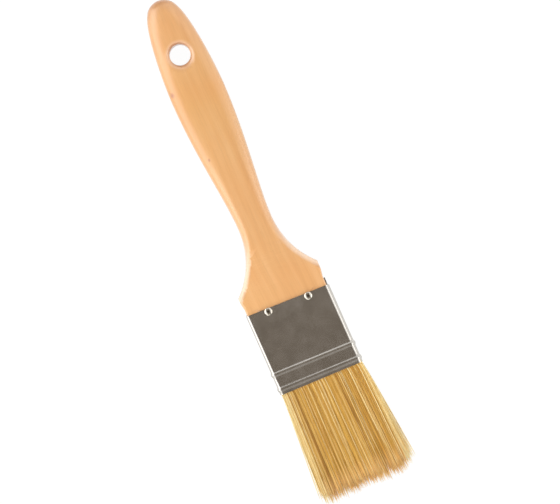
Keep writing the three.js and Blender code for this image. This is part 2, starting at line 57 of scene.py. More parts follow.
ferrule_low, ferrule_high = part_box("ferrule")
handle_low, handle_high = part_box("handle")
BRISTLE_NODES = [
    "bristles_front_outer", "bristles_front_inner", "bristles_back_inner", "bristles_back_outer",
]
NAIL_NODES = ["nail_front_left", "nail_front_right", "nail_back_left", "nail_back_right"]
bristle_boxes = [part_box(name) for name in BRISTLE_NODES]
tuft_low = Vector([min(box[0][axis] for box in bristle_boxes) for axis in range(3)])
tuft_high = Vector([max(box[1][axis] for box in bristle_boxes) for axis in range(3)])
mid_height = (ferrule_low.z + ferrule_high.z) / 2
root_low, root_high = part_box("root_setting")
ferrule_middle = (root_low.y + root_high.y) / 2  # the set roots fill the ferrule from side to side


# ---------- Small helpers ----------

def deselect_all():
    if bpy.context.object and bpy.context.object.mode != "OBJECT":
        bpy.ops.object.mode_set(mode="OBJECT")
    bpy.ops.object.select_all(action="DESELECT")


def pick(piece):
    """Selects one piece alone and makes it the active one."""
    deselect_all()
    piece.select_set(True)
    bpy.context.view_layer.objects.active = piece


def settle(piece):
    """Puts a piece's place into its mesh, so that its object sits at the origin."""
    pick(piece)
    bpy.ops.object.transform_apply(location=True, rotation=True, scale=True)


def copy_of(node, name, crease_angle):
    """A copy of a CAD piece with its loose triangles merged and its round faces smoothed."""
    piece = bpy.data.objects.new(name, nodes[node].data.copy())
    scene.collection.objects.link(piece)
    pick(piece)
    bpy.ops.object.mode_set(mode="EDIT")
    bpy.ops.mesh.select_all(action="SELECT")
    bpy.ops.mesh.remove_doubles(threshold=1e-6)
    bpy.ops.object.mode_set(mode="OBJECT")
    bpy.ops.object.shade_smooth_by_angle(angle=math.radians(crease_angle))
    return piece


def keep_flats_flat(piece):
    """Lets a piece's large faces set the shading of the small ones that border them."""
    pick(piece)
    bpy.ops.object.modifier_add(type="WEIGHTED_NORMAL")
    piece.modifiers[-1].keep_sharp = True
    bpy.ops.object.modifier_apply(modifier=piece.modifiers[-1].name)
    return piece


def finish_piece(piece, material, slot, *replaced):
    """Gives a piece its material, its body and the CAD pieces that it stands for; the slot argument
    is not used.
    """
    piece.data.materials.clear()
    piece.data.materials.append(material)
    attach(piece, "root")
    if replaced:
        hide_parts(*replaced)


# ---------- Material helpers ----------

def from_hex(code):
    """An sRGB hex colour as the linear colour that a shader takes."""
    channels = [int(code[i:i + 2], 16) / 255 for i in (1, 3, 5)]
    linear = [c / 12.92 if c <= 0.04045 else ((c + 0.055) / 1.055) ** 2.4 for c in channels]
    return (*linear, 1)


def add(tree, kind, settings, links=None):
    """Adds a node. A setting or link is named for an input, or for a property of the node."""
    made = tree.nodes.new("ShaderNode" + kind)
    for name, value in settings.items():
        if isinstance(name, str) and name not in made.inputs:
            setattr(made, name, value)
    for name, value in settings.items():
        if not isinstance(name, str) or name in made.inputs:
            made.inputs[name].default_value = value
    for name, output in (links or {}).items():
        tree.links.new(output, made.inputs[name])
    return made


def ramp(tree, fac, stops):
    """A colour ramp from (place, colour) pairs."""
    made = add(tree, "ValToRGB", {}, {"Fac": fac})
    band = made.color_ramp
    while len(band.elements) < len(stops):
        band.elements.new(1)
    for element, (place, colour) in zip(band.elements, stops):
        element.position = place
        element.color = colour
    return made.outputs["Color"]


def new_material(name):
    """An empty material and its node tree."""
    made = bpy.data.materials.new(name)
    made.use_nodes = True
    made.node_tree.nodes.clear()
    return made, made.node_tree


def close_material(tree, settings, links):
    """Ends a material with its surface shader."""
    shader = add(tree, "BsdfPrincipled", settings, links)
    add(tree, "OutputMaterial", {}, {"Surface": shader.outputs["BSDF"]})


def grey(value):
    return (value, value, value, 1)


# ---------- Camera ----------

# The camera looks straight down on the front face from far off, and the brush lies aslant in its
# view with the handle's tip at the upper left.
CAMERA_TURN = math.radians(23.76)  # of the brush's own line, from the view's upright
CAMERA_HEIGHT = 1.5
FRAME_ASPECT = 10 / 9  # the view's width over its height
FILLED_HEIGHT = 1.0  # share of the view's height that the brush takes up
AIM_ACROSS = -0.55 * MM  # how far right of the brush's middle the camera points
AIM_DOWN = 0.2 * MM  # and how far below it

across_view = Vector((math.sin(CAMERA_TURN), math.cos(CAMERA_TURN), 0))
up_view = Vector((-math.cos(CAMERA_TURN), math.sin(CAMERA_TURN), 0))
corners = np.concatenate([
    np.array([vertex.co for vertex in node.data.vertices]) for node in nodes.values()
])


def reach(direction):
    """How far the brush runs each way along a direction."""
    along = corners @ np.array(direction)
    return along.min(), along.max()


left, right = reach(across_view)
bottom, top = reach(up_view)
view_centre = across_view * ((left + right) / 2 + AIM_ACROSS)
view_centre += up_view * ((bottom + top) / 2 - AIM_DOWN)
view_width = (top - bottom) / FILLED_HEIGHT * FRAME_ASPECT

camera_data = bpy.data.cameras.new("camera")
camera = bpy.data.objects.new("camera", camera_data)
scene.collection.objects.link(camera)
scene.camera = camera
camera_data.lens = camera_data.sensor_width * CAMERA_HEIGHT / view_width
camera_data.clip_start = 0.05
camera_data.clip_end = 20
camera_place = view_centre + Vector((0, 0, mid_height + CAMERA_HEIGHT))
camera.matrix_world = Matrix.Translation(camera_place) @ Matrix(
    (across_view, up_view, (0, 0, 1))
).transposed().to_4x4()

scene.view_settings.view_transform = "Standard"


# ---------- Studio ----------

WORLD_LIGHT = 0.88  # what falls on the brush from all round
BACKGROUND_WHITE = 1.0  # what the camera and the mirrors see round it


def seen_directly(tree):
    """1 for what the camera, a mirror or a clear part sees, 0 for light that falls on things."""
    path = add(tree, "LightPath", {})
    pair = add(tree, "Math", {"operation": "MAXIMUM"}, {
        0: path.outputs["Is Camera Ray"], 1: path.outputs["Is Glossy Ray"]})
    return add(tree, "Math", {"operation": "MAXIMUM"}, {
        0: pair.outputs[0], 1: path.outputs["Is Transmission Ray"]}).outputs[0]


world = bpy.data.worlds.new("white studio")
world.use_nodes = True
scene.world = world
world.node_tree.nodes.clear()
level = add(world.node_tree, "MapRange", {"To Min": WORLD_LIGHT, "To Max": BACKGROUND_WHITE}, {
    "Value": seen_directly(world.node_tree)})
sky = add(world.node_tree, "Background", {"Color": grey(1)}, {"Strength": level.outputs[0]})
add(world.node_tree, "OutputWorld", {}, {"Surface": sky.outputs[0]})


def plane(name, size, place, turned=(0, 0, 0)):
    """A flat rectangle of the studio's own."""
    deselect_all()
    bpy.ops.mesh.primitive_plane_add(size=1, location=place, rotation=turned)
    made = bpy.context.object
    made.name = name
    made.scale = (size[0], size[1], 1)
    settle(made)
    return made


# White paper floor. Part of its white is its own, so that it stays pale and still takes a shadow.
FLOOR_OWN_WHITE = 0.92
floor = plane("floor", (6, 6), (0, 0, 0))
floor_paper, tree = new_material("white paper")
fibre = add(tree, "TexNoise", {"Scale": 40.0, "Detail": 4.0}, {
    "Vector": add(tree, "TexCoord", {}).outputs["Object"]})
paper_colour = ramp(tree, fibre.outputs["Fac"], [(0.3, grey(0.90)), (0.7, grey(0.93))])
matte = add(tree, "BsdfDiffuse", {"Roughness": 0.3}, {"Color": paper_colour})
own_white = add(tree, "Emission", {"Color": grey(1), "Strength": 1.04})
share = add(tree, "Math", {"operation": "MULTIPLY", 1: FLOOR_OWN_WHITE}, {0: seen_directly(tree)})
both = add(tree, "MixShader", {}, {
    0: share.outputs[0], 1: matte.outputs[0], 2: own_white.outputs[0]})
add(tree, "OutputMaterial", {}, {"Surface": both.outputs[0]})
floor.data.materials.append(floor_paper)

# The dim ceiling over the table. The flat of the ferrule mirrors it, and it only shows in mirrors.
# It runs on past both ends of the brush, is paler past the bristles and darker by its two sides.
CEILING_HEIGHT = 2.3
CEILING_ALONG = (-1.82, 3.1)
CEILING_ACROSS = 2.1
PALE_FROM, PALE_BY = 1.35, 1.95  # along it, past the bristles
DARK_FROM, DARK_BY = 0.62, 0.95  # aside of its middle line
ceiling = plane("dim_ceiling", (CEILING_ALONG[1] - CEILING_ALONG[0], CEILING_ACROSS),
                (sum(CEILING_ALONG) / 2, 0, CEILING_HEIGHT))
ceiling.visible_camera = False
ceiling.visible_diffuse = False
dim_paint, tree = new_material("dim ceiling paint")
ceiling_place = add(tree, "TexCoord", {}).outputs["Object"]
blotch = add(tree, "TexNoise", {"Scale": 3.0, "Detail": 2.0}, {"Vector": ceiling_place})
dim_colour = ramp(tree, blotch.outputs["Fac"], [
    (0.3, from_hex("#847B72")), (0.7, from_hex("#8A8279"))])
ceiling_axes = add(tree, "SeparateXYZ", {}, {"Vector": ceiling_place})
paling = add(tree, "MapRange", {"From Min": PALE_FROM, "From Max": PALE_BY}, {
    "Value": ceiling_axes.outputs["X"]})
paled = add(tree, "Mix", {"data_type": "RGBA", 7: from_hex("#C2B7AB")}, {
    0: paling.outputs[0], 6: dim_colour})
aside = add(tree, "Math", {"operation": "ABSOLUTE"}, {0: ceiling_axes.outputs["Y"]})
darkening = add(tree, "MapRange", {"From Min": DARK_FROM, "From Max": DARK_BY}, {
    "Value": aside.outputs[0]})
ceiling_colour = add(tree, "Mix", {"data_type": "RGBA", 7: from_hex("#463C30")}, {
    0: darkening.outputs[0], 6: paled.outputs[2]})
dim_glow = add(tree, "Emission", {"Strength": 1.0}, {"Color": ceiling_colour.outputs[2]})
add(tree, "OutputMaterial", {}, {"Surface": dim_glow.outputs[0]})
ceiling.data.materials.append(dim_paint)


def mirror_card(name, toward, away, heights, width, brightness):
    """A card that stands upright on one side of the brush, and that only shows in mirrors."""
    low, high = heights
    place = (toward.x * away, toward.y * away, (low + high) / 2)
    facing = (0, math.radians(90), math.atan2(toward.y, toward.x))
    card = plane(name, (high - low, width), place, facing)
    card.visible_camera = False
    card.visible_diffuse = False
    paint, tree = new_material(name.replace("_", " "))
    mottle = add(tree, "TexNoise", {"Scale": 6.0}, {
        "Vector": add(tree, "TexCoord", {}).outputs["Object"]})
    colour = ramp(tree, mottle.outputs["Fac"], [(0.3, grey(0.92)), (0.7, grey(1.0))])
    glow = add(tree, "Emission", {"Strength": brightness}, {"Color": colour})
    add(tree, "OutputMaterial", {}, {"Surface": glow.outputs[0]})
    card.data.materials.append(paint)


mirror_card("grey_card", Vector((1, 0, 0)), 1.5, (0.2, 1.6), 2.0, 0.33)
mirror_card("dark_card", Vector((-1, 0, 0)), 1.6, (0.1, 1.1), 1.6, 0.12)


def softbox(name, toward, elevation, away, size, brightness):
    """A rectangular soft light of a given brightness, aimed at the brush."""
    data = bpy.data.lights.new(name, "AREA")
    data.shape = "RECTANGLE"
    data.size, data.size_y = size
    data.energy = brightness * math.pi * size[0] * size[1]
    lamp = bpy.data.objects.new(name, data)
    scene.collection.objects.link(lamp)
    lift = math.radians(elevation)
    back = toward.normalized() * math.cos(lift) + Vector((0, 0, math.sin(lift)))
    lamp.matrix_world = (
        Matrix.Translation(back * away) @ back.to_track_quat("Z", "Y").to_matrix().to_4x4()
    )


softbox("softbox_left", -across_view, 31, 1.25, (1.7, 0.95), 1.45)
softbox("softbox_right", across_view, 24, 1.3, (1.1, 0.65), 1.4)
softbox("softbox_top", up_view, 30, 1.4, (0.9, 0.6), 0.3)
softbox("softbox_low", -up_view, 22, 1.3, (1.2, 0.5), 1.4)


# ---------- Materials ----------

# The handle's hollow flare, between the waist and the shoulders of the head
WAIST_FROM_TIP = 105.15 * MM
WAIST_WIDTH = 15.6 * MM
FLARE_RADIUS = 36.7 * MM
GRIP_ASIDE = 0.86 * MM  # the grip's middle line is this far to the right of the ferrule's
FLARE_BEVEL = 2.5 * MM  # its edges are planed off this wide
FLARE_BEVEL_SLOPE = math.radians(33)
FLARE_HIGHLIGHT_SPAN = (3 * MM, 17 * MM)  # past the waist: where the painted highlight on the planed edges begins, and is full
# Each hollow is an arc. These are the middles of the left and the right one, seen from above.
hollow_middles = [
    (handle_low.x + WAIST_FROM_TIP,
     ferrule_middle + GRIP_ASIDE + sign * (WAIST_WIDTH / 2 + FLARE_RADIUS)) for sign in (-1, 1)]


def on_planed_edge(tree, place):
    """How much a point takes the painted highlight on the flare's planed edges, by how far it is
    from a hollow's middle.
    """
    plan = add(tree, "VectorMath", {"operation": "MULTIPLY", 1: (1, 1, 0)}, {0: place})
    outwards = []
    for x, y in hollow_middles:
        away = add(tree, "VectorMath", {"operation": "DISTANCE", 1: (x, y, 0)}, {
            0: plan.outputs[0]})
        outwards.append(add(tree, "MapRange", {
            "From Min": FLARE_RADIUS + FLARE_BEVEL, "From Max": FLARE_RADIUS + 0.4 * FLARE_BEVEL,
        }, {"Value": away.outputs["Value"]}).outputs[0])
    planed_highlight_mask = add(tree, "Math", {"operation": "MAXIMUM"}, {0: outwards[0], 1: outwards[1]})
    waist_x = hollow_middles[0][0]
    begun = add(tree, "MapRange", {
        "From Min": waist_x + FLARE_HIGHLIGHT_SPAN[0], "From Max": waist_x + FLARE_HIGHLIGHT_SPAN[1]}, {
        "Value": add(tree, "SeparateXYZ", {}, {"Vector": place}).outputs["X"]})
    return add(tree, "Math", {"operation": "MULTIPLY"}, {
        0: planed_highlight_mask.outputs[0], 1: begun.outputs[0]}).outputs[0]


# Places on the handle that its wood is marked at
handle_length = handle_high.x - handle_low.x
handle_middle = (handle_low.y + handle_high.y) / 2
handle_width = handle_high.y - handle_low.y
HANGING_HOLE = frame["record"]["physics"]["openings"][0]["box_m"]
HIGHLIGHT_RIM_INSIDE, HIGHLIGHT_RIM_OUTSIDE = 5.6 * MM, 6.8 * MM  # radii that the painted highlight round the hole fades out between
# Each knot's place along the handle as a share of its length, place off its middle, and radius
PIN_KNOTS = ((0.2525, -9.7 * MM, 0.85 * MM), (0.452, -6.4 * MM, 0.5 * MM))
KNOT_WIDTH = 0.7  # across the grain, as a share of its length along it


def beech_grain(tree, place, wavered):
    """The colour of beech's grain, and its fibres alone."""
    # Growth rings are 2 to 4 mm apart and run the handle's length.
    drawn_out = add(tree, "Mapping", {"Scale": (9, 260, 150)}, {"Vector": wavered})
    rings = add(tree, "TexNoise", {"Scale": 1.0, "Detail": 3.0, "Roughness": 0.5}, {
        "Vector": drawn_out.outputs[0]})
    # Fibres are finer than 0.1 mm; they are drawn 0.4 mm wide so that they show.
    fibre_place = add(tree, "Mapping", {"Scale": (60, 2200, 1400)}, {"Vector": wavered})
    fibres = add(tree, "TexNoise", {"Scale": 1.0, "Detail": 2.0}, {
        "Vector": fibre_place.outputs[0]})
    patches = add(tree, "TexNoise", {"Scale": 45.0, "Detail": 1.0}, {"Vector": place})
    ring_colour = ramp(tree, rings.outputs["Fac"], [
        (0.32, from_hex("#E8A862")), (0.50, from_hex("#EDB06B")), (0.68, from_hex("#F1B776"))])
    fibre_colour = ramp(tree, fibres.outputs["Fac"], [
        (0.30, grey(0.90)), (0.50, grey(0.99)), (0.70, grey(1.0))])
    grained = add(tree, "Mix", {"data_type": "RGBA", "blend_type": "MULTIPLY", 0: 0.55}, {
        6: ring_colour, 7: fibre_colour})
    patch_colour = ramp(tree, patches.outputs["Fac"], [
        (0.35, from_hex("#FFF3E2")), (0.65, from_hex("#FFFFFF"))])
    tinted = add(tree, "Mix", {"data_type": "RGBA", "blend_type": "MULTIPLY", 0: 0.6}, {
        6: grained.outputs[2], 7: patch_colour})
    return tinted.outputs[2], fibres.outputs["Fac"]


def beech_tone(tree, place, wavered, colour):
    """The grain's colour with the wood's slow changes of tone, its ray flecks and a painted shade
    on its right half.
    """
    axes = add(tree, "SeparateXYZ", {}, {"Vector": place})
    # The tone shifts a little along the handle: deepest at the belly
    along = add(tree, "MapRange", {"From Min": handle_low.x, "From Max": handle_high.x}, {
        "Value": axes.outputs["X"]})
    tone = ramp(tree, along.outputs[0], [
        (0.05, from_hex("#F9F9FC")), (0.30, from_hex("#F7F2DE")), (0.60, from_hex("#FAFCFF")),
        (0.80, from_hex("#FFFFFF"))])
    toned = add(tree, "Mix", {"data_type": "RGBA", "blend_type": "MULTIPLY", 0: 1.0}, {
        6: colour, 7: tone})
    # Beech's ray flecks: about 0.2 mm wide and 1 mm long
    fleck_place = add(tree, "Mapping", {"Scale": (300, 1500, 1500)}, {"Vector": wavered})
    flecks = add(tree, "TexVoronoi", {"Scale": 1.0, "Randomness": 1.0}, {
        "Vector": fleck_place.outputs[0]})
    fleck_mask = ramp(tree, flecks.outputs["Distance"], [(0.06, grey(1)), (0.17, grey(0))])
    flecked = add(tree, "Mix", {"data_type": "RGBA", 7: from_hex("#D49A62")}, {
        0: add(tree, "Math", {"operation": "MULTIPLY", 1: 0.28}, {0: fleck_mask}).outputs[0],
        6: toned.outputs[2]})
    # Painted shade: the right half is painted a shade deeper, as if the face turned from the light
    sideways = add(tree, "MapRange", {
        "From Min": handle_middle - 0.35 * handle_width,
        "From Max": handle_middle + 0.35 * handle_width}, {"Value": axes.outputs["Y"]})
    painted_side_shade = ramp(tree, sideways.outputs[0], [
        (0.0, grey(1.0)), (0.6, grey(0.95)), (1.0, grey(0.95))])
    shaded = add(tree, "Mix", {"data_type": "RGBA", "blend_type": "MULTIPLY", 0: 1.0}, {
        6: flecked.outputs[2], 7: painted_side_shade})
    return shaded.outputs[2]


def cut_wood(tree, place, colour):
    """The sanded wood's colour, changed where the hole, the end grain and the plane cut it: painted
    highlights round the hole and on the planed edges, and darker end grain.
    """
    # Painted highlight: the eased rim round the hanging hole is painted paler and a little pink, as
    # its slopes catch the side lights
    hole_low, hole_high = [Vector(corner) for corner in HANGING_HOLE]
    hole_middle = (hole_low + hole_high) / 2
    plan = add(tree, "VectorMath", {"operation": "MULTIPLY", 1: (1, 1, 0)}, {0: place})
    from_hole = add(tree, "VectorMath", {
        "operation": "DISTANCE", 1: (hole_middle.x, hole_middle.y, 0)}, {0: plan.outputs[0]})
    rim_highlight = add(tree, "MapRange", {
        "From Min": HIGHLIGHT_RIM_INSIDE, "From Max": HIGHLIGHT_RIM_OUTSIDE, "To Min": 0.45, "To Max": 0.0}, {
        "Value": from_hole.outputs["Value"]})
    rim_highlighted = add(tree, "Mix", {"data_type": "RGBA", 7: from_hex("#F6C8A4")}, {
        0: rim_highlight.outputs[0], 6: colour})
    # End grain drinks more lacquer and is darker and redder
    facing = add(tree, "SeparateXYZ", {}, {
        "Vector": add(tree, "NewGeometry", {}).outputs["Normal"]}).outputs["X"]
    end_grain = add(tree, "MapRange", {"From Min": 0.12, "From Max": 0.8, "To Max": 0.75}, {
        "Value": add(tree, "Math", {"operation": "ABSOLUTE"}, {0: facing}).outputs[0]})
    ended = add(tree, "Mix", {"data_type": "RGBA", 7: from_hex("#B3733F")}, {
        0: end_grain.outputs[0], 6: rim_highlighted.outputs[2]})
    # Painted highlight: the planed edges of the flare are painted much paler than the sanded face,
    # for the sheen that the side lights leave on them
    planed_highlight_mask = add(tree, "Math", {"operation": "MULTIPLY", 1: 0.62}, {
        0: on_planed_edge(tree, place)})
    paled = add(tree, "Mix", {"data_type": "RGBA", 7: from_hex("#FFE4C9")}, {
        0: planed_highlight_mask.outputs[0], 6: ended.outputs[2]})
    return paled.outputs[2]


def pin_knots(tree, place, colour):
    """The wood's colour with its small knots near the left edge."""
    for share, offset, radius in PIN_KNOTS:
        knot = Vector((handle_low.x + share * handle_length, handle_middle + offset, 0))
        flat = add(tree, "VectorMath", {"operation": "MULTIPLY", 1: (KNOT_WIDTH, 1, 0)}, {
            0: place})
        apart = add(tree, "VectorMath", {
            "operation": "DISTANCE", 1: (KNOT_WIDTH * knot.x, knot.y, 0)}, {0: flat.outputs[0]})
        spot = add(tree, "MapRange", {
            "From Min": 0.2 * radius, "From Max": 1.4 * radius, "To Min": 0.85, "To Max": 0.0}, {
            "Value": apart.outputs["Value"]})
        colour = add(tree, "Mix", {"data_type": "RGBA", 7: from_hex("#B4683C")}, {
            0: spot.outputs[0], 6: colour}).outputs[2]
    return colour


def beech():
    """Lacquered beech, turned and sanded: warm straight grain, short flecks, a soft clear sheen."""
    material, tree = new_material("lacquered beech")
    place = add(tree, "TexCoord", {}).outputs["Object"]
    # All of the grain follows one slow waver
    waver = add(tree, "TexNoise", {"Scale": 18.0, "Detail": 1.0}, {"Vector": place})
    wavered = add(tree, "VectorMath", {"operation": "MULTIPLY_ADD", 1: (0, 4 * MM, 4 * MM)}, {
        0: waver.outputs["Color"], 2: place}).outputs[0]
    colour, fibres = beech_grain(tree, place, wavered)
    colour = beech_tone(tree, place, wavered, colour)
    colour = cut_wood(tree, place, colour)
    colour = pin_knots(tree, place, colour)
    gloss = add(tree, "TexNoise", {"Scale": 120.0, "Detail": 3.0}, {"Vector": place})
    roughness = add(tree, "MapRange", {"To Min": 0.38, "To Max": 0.52}, {
        "Value": gloss.outputs["Fac"]})
    grain_bump = add(tree, "Bump", {"Strength": 0.12, "Distance": 0.0002}, {"Height": fibres})
    lacquer_wave = add(tree, "TexNoise", {"Scale": 260.0, "Detail": 1.0}, {"Vector": place})
    lacquer_bump = add(tree, "Bump", {"Strength": 0.05, "Distance": 0.0003}, {
        "Height": lacquer_wave.outputs["Fac"]})
    close_material(tree, {"Coat Weight": 1.0, "Coat Roughness": 0.3, "Coat IOR": 1.75, "IOR": 1.5,
                          "Sheen Weight": 0.6, "Sheen Roughness": 0.45}, {
        "Base Color": colour, "Roughness": roughness.outputs[0],
        "Normal": grain_bump.outputs[0], "Coat Normal": lacquer_bump.outputs[0]})
    return material


def tinned_steel():
    """Tinned sheet steel, cold rolled: a cool mirror-like face with faint rolling lines along the
    strip, cloudy patches in the tin and a few hairline scratches."""
    material, tree = new_material("tinned steel")
    place = add(tree, "TexCoord", {}).outputs["Object"]
    # Rolling lines run round the brush, along the strip. They are drawn 1 mm apart.
    rolled = add(tree, "Mapping", {"Scale": (900, 45, 45)}, {"Vector": place})
    lines = add(tree, "TexNoise", {"Scale": 1.0, "Detail": 1.0}, {"Vector": rolled.outputs[0]})
    clouds = add(tree, "TexNoise", {"Scale": 160.0, "Detail": 4.0, "Roughness": 0.55}, {
        "Vector": place})
    waves = add(tree, "TexNoise", {"Scale": 55.0, "Detail": 1.0}, {"Vector": place})
    # Hairline scratches lie where a slow noise passes through its middle value.
    scratch_place = add(tree, "Mapping", {
        "Scale": (260, 90, 90), "Rotation": (0, 0, math.radians(35))}, {"Vector": place})
    scratch_noise = add(tree, "TexNoise", {"Scale": 1.0, "Detail": 0.0}, {
        "Vector": scratch_place.outputs[0]})
    off_middle = add(tree, "Math", {"operation": "SUBTRACT", 1: 0.5}, {
        0: scratch_noise.outputs["Fac"]})
    scratch = add(tree, "MapRange", {"From Max": 0.006, "To Min": 1.0, "To Max": 0.0}, {
        "Value": add(tree, "Math", {"operation": "ABSOLUTE"}, {
            0: off_middle.outputs[0]}).outputs[0]})
    colour = ramp(tree, clouds.outputs["Fac"], [
        (0.30, from_hex("#C6C1B9")), (0.70, from_hex("#D2CDC6"))])
    scuffed = add(tree, "Mix", {"data_type": "RGBA", 7: from_hex("#F0ECE4")}, {
        0: add(tree, "Math", {"operation": "MULTIPLY", 1: 0.35}, {
            0: scratch.outputs[0]}).outputs[0],
        6: colour})
    roughness = add(tree, "MapRange", {
        "From Min": 0.3, "From Max": 0.7, "To Min": 0.19, "To Max": 0.25}, {
        "Value": clouds.outputs["Fac"]})
    line_bump = add(tree, "Bump", {"Strength": 0.03, "Distance": 0.0001}, {
        "Height": lines.outputs["Fac"]})
    wave_bump = add(tree, "Bump", {"Strength": 0.35, "Distance": 0.0006}, {
        "Height": waves.outputs["Fac"], "Normal": line_bump.outputs[0]})
    close_material(tree, {"Metallic": 1.0, "Anisotropic": 0.3}, {
        "Base Color": scuffed.outputs[2], "Roughness": roughness.outputs[0],
        "Normal": wave_bump.outputs[0]})
    return material


def bright_nail():
    """Nickel-plated steel, cold headed: a bright round cap with a painted dark reflection in its
    middle, and a slightly uneven plating."""
    material, tree = new_material("nickel-plated steel")
    place = add(tree, "TexCoord", {}).outputs["Object"]
    plating = add(tree, "TexNoise", {"Scale": 900.0, "Detail": 3.0}, {"Vector": place})
    colour = ramp(tree, plating.outputs["Fac"], [
        (0.3, from_hex("#DDD6C8")), (0.7, from_hex("#EFE9DC"))])
    off_middle = add(tree, "Attribute", {"attribute_name": "off_middle"}).outputs["Fac"]
    # painted dark reflection in the middle of each cap
    painted_dark_reflection = ramp(tree, off_middle, [(0.22, grey(0.85)), (0.5, grey(0))])
    reflection_darkened = add(tree, "Mix", {"data_type": "RGBA", 7: from_hex("#5B5044")}, {0: painted_dark_reflection, 6: colour})
    roughness = add(tree, "MapRange", {"To Min": 0.08, "To Max": 0.2}, {
        "Value": plating.outputs["Fac"]})
    dents = add(tree, "Bump", {"Strength": 0.15, "Distance": 0.0002}, {
        "Height": plating.outputs["Fac"]})
    close_material(tree, {"Metallic": 1.0}, {
        "Base Color": reflection_darkened.outputs[2], "Roughness": roughness.outputs[0],
        "Normal": dents.outputs[0]})
    return material


def setting_resin():
    """Epoxy set with rosin: amber, glossy where it was poured and cloudy with bristle dust."""
    material, tree = new_material("amber epoxy")
    place = add(tree, "TexCoord", {}).outputs["Object"]
    cloud = add(tree, "TexNoise", {"Scale": 300.0, "Detail": 4.0}, {"Vector": place})
    colour = ramp(tree, cloud.outputs["Fac"], [
        (0.3, from_hex("#7E5320")), (0.7, from_hex("#A87532"))])
    roughness = add(tree, "MapRange", {"To Min": 0.2, "To Max": 0.5}, {
        "Value": cloud.outputs["Fac"]})
    lumps = add(tree, "Bump", {"Strength": 0.3, "Distance": 0.0003}, {
        "Height": cloud.outputs["Fac"]})
    close_material(tree, {"Coat Weight": 0.4, "Coat Roughness": 0.1, "IOR": 1.55}, {
        "Base Color": colour, "Roughness": roughness.outputs[0], "Normal": lumps.outputs[0]})
    return material


def sawn_wood():
    """Bare sawn softwood: dull, pale, with rough fibres."""
    material, tree = new_material("bare sawn pine")
    place = add(tree, "TexCoord", {}).outputs["Object"]
    fibre_place = add(tree, "Mapping", {"Scale": (900, 120, 900)}, {"Vector": place})
    fibres = add(tree, "TexNoise", {"Scale": 1.0, "Detail": 4.0}, {
        "Vector": fibre_place.outputs[0]})
    colour = ramp(tree, fibres.outputs["Fac"], [
        (0.3, from_hex("#C39D6B")), (0.7, from_hex("#E3C697"))])
    saw_marks = add(tree, "Bump", {"Strength": 0.5, "Distance": 0.0002}, {
        "Height": fibres.outputs["Fac"]})
    close_material(tree, {"Roughness": 0.85, "IOR": 1.5}, {
        "Base Color": colour, "Normal": saw_marks.outputs[0]})
    return material


def bristle():
    """Pale natural bristle, boiled straight: honey-coloured hairs, each its own shade, softer at
    the tips and painted paler there for the light that comes through them, with a thin waxy shine
    down each one."""
    material, tree = new_material("pale hog bristle")
    shade = add(tree, "Attribute", {"attribute_name": "shade"}).outputs["Fac"]
    along = add(tree, "Attribute", {"attribute_name": "along"}).outputs["Fac"]
    place = add(tree, "TexCoord", {}).outputs["Object"]
    hair_colour = ramp(tree, shade, [
        (0.0, from_hex("#AC7722")), (0.3, from_hex("#E0AC48")), (0.7, from_hex("#F0C15C")),
        (1.0, from_hex("#FFE9AE"))])
    # Uneven colour down a hair, in stretches of 3 to 10 mm
    drawn_out = add(tree, "Mapping", {"Scale": (180, 1400, 1400)}, {"Vector": place})
    stretches = add(tree, "TexNoise", {"Scale": 1.0, "Detail": 2.0}, {
        "Vector": drawn_out.outputs[0]})
    stretch_colour = ramp(tree, stretches.outputs["Fac"], [
        (0.3, from_hex("#F3E7D0")), (0.7, from_hex("#FFFFFF"))])
    toned = add(tree, "Mix", {"data_type": "RGBA", "blend_type": "MULTIPLY", 0: 0.8}, {
        6: hair_colour, 7: stretch_colour})
    # Painted light: the thin tips are painted paler, each by the same share, for the light that
    # comes through them
    tip_share = add(tree, "MapRange", {"From Min": 0.8, "From Max": 0.97}, {"Value": along})
    lit_through = add(tree, "Mix", {
        "data_type": "RGBA", "blend_type": "DODGE", 7: from_hex("#7C7280")}, {
        0: tip_share.outputs[0], 6: toned.outputs[2]})
    tips_painted_light = add(tree, "Mix", {"data_type": "RGBA", 7: from_hex("#FFDCA4")}, {
        0: add(tree, "Math", {"operation": "MULTIPLY", 1: 0.35}, {
            0: tip_share.outputs[0]}).outputs[0],
        6: lit_through.outputs[2]})
    roughness = add(tree, "MapRange", {"To Min": 0.38, "To Max": 0.55}, {
        "Value": stretches.outputs["Fac"]})
    scales = add(tree, "Bump", {"Strength": 0.1, "Distance": 0.0001}, {
        "Height": stretches.outputs["Fac"]})
    close_material(tree, {"IOR": 1.5, "Sheen Weight": 0.04, "Sheen Roughness": 0.4}, {
        "Base Color": tips_painted_light.outputs[2], "Roughness": roughness.outputs[0],
        "Normal": scales.outputs[0]})
    return material


# ---------- Handle, ferrule, nails and what is inside ----------

# Faces that meet at a sharper turn than this, in degrees, keep a crisp edge between them
HANDLE_CREASE = 24
FERRULE_CREASE = 35
NAIL_CREASE = 50
HEAD_SEEN = 9 * MM  # the head's two broad faces are looked for this near the ferrule
CONE_SPARE = 2 * MM  # a cutting cone passes the edge that it planes by this much


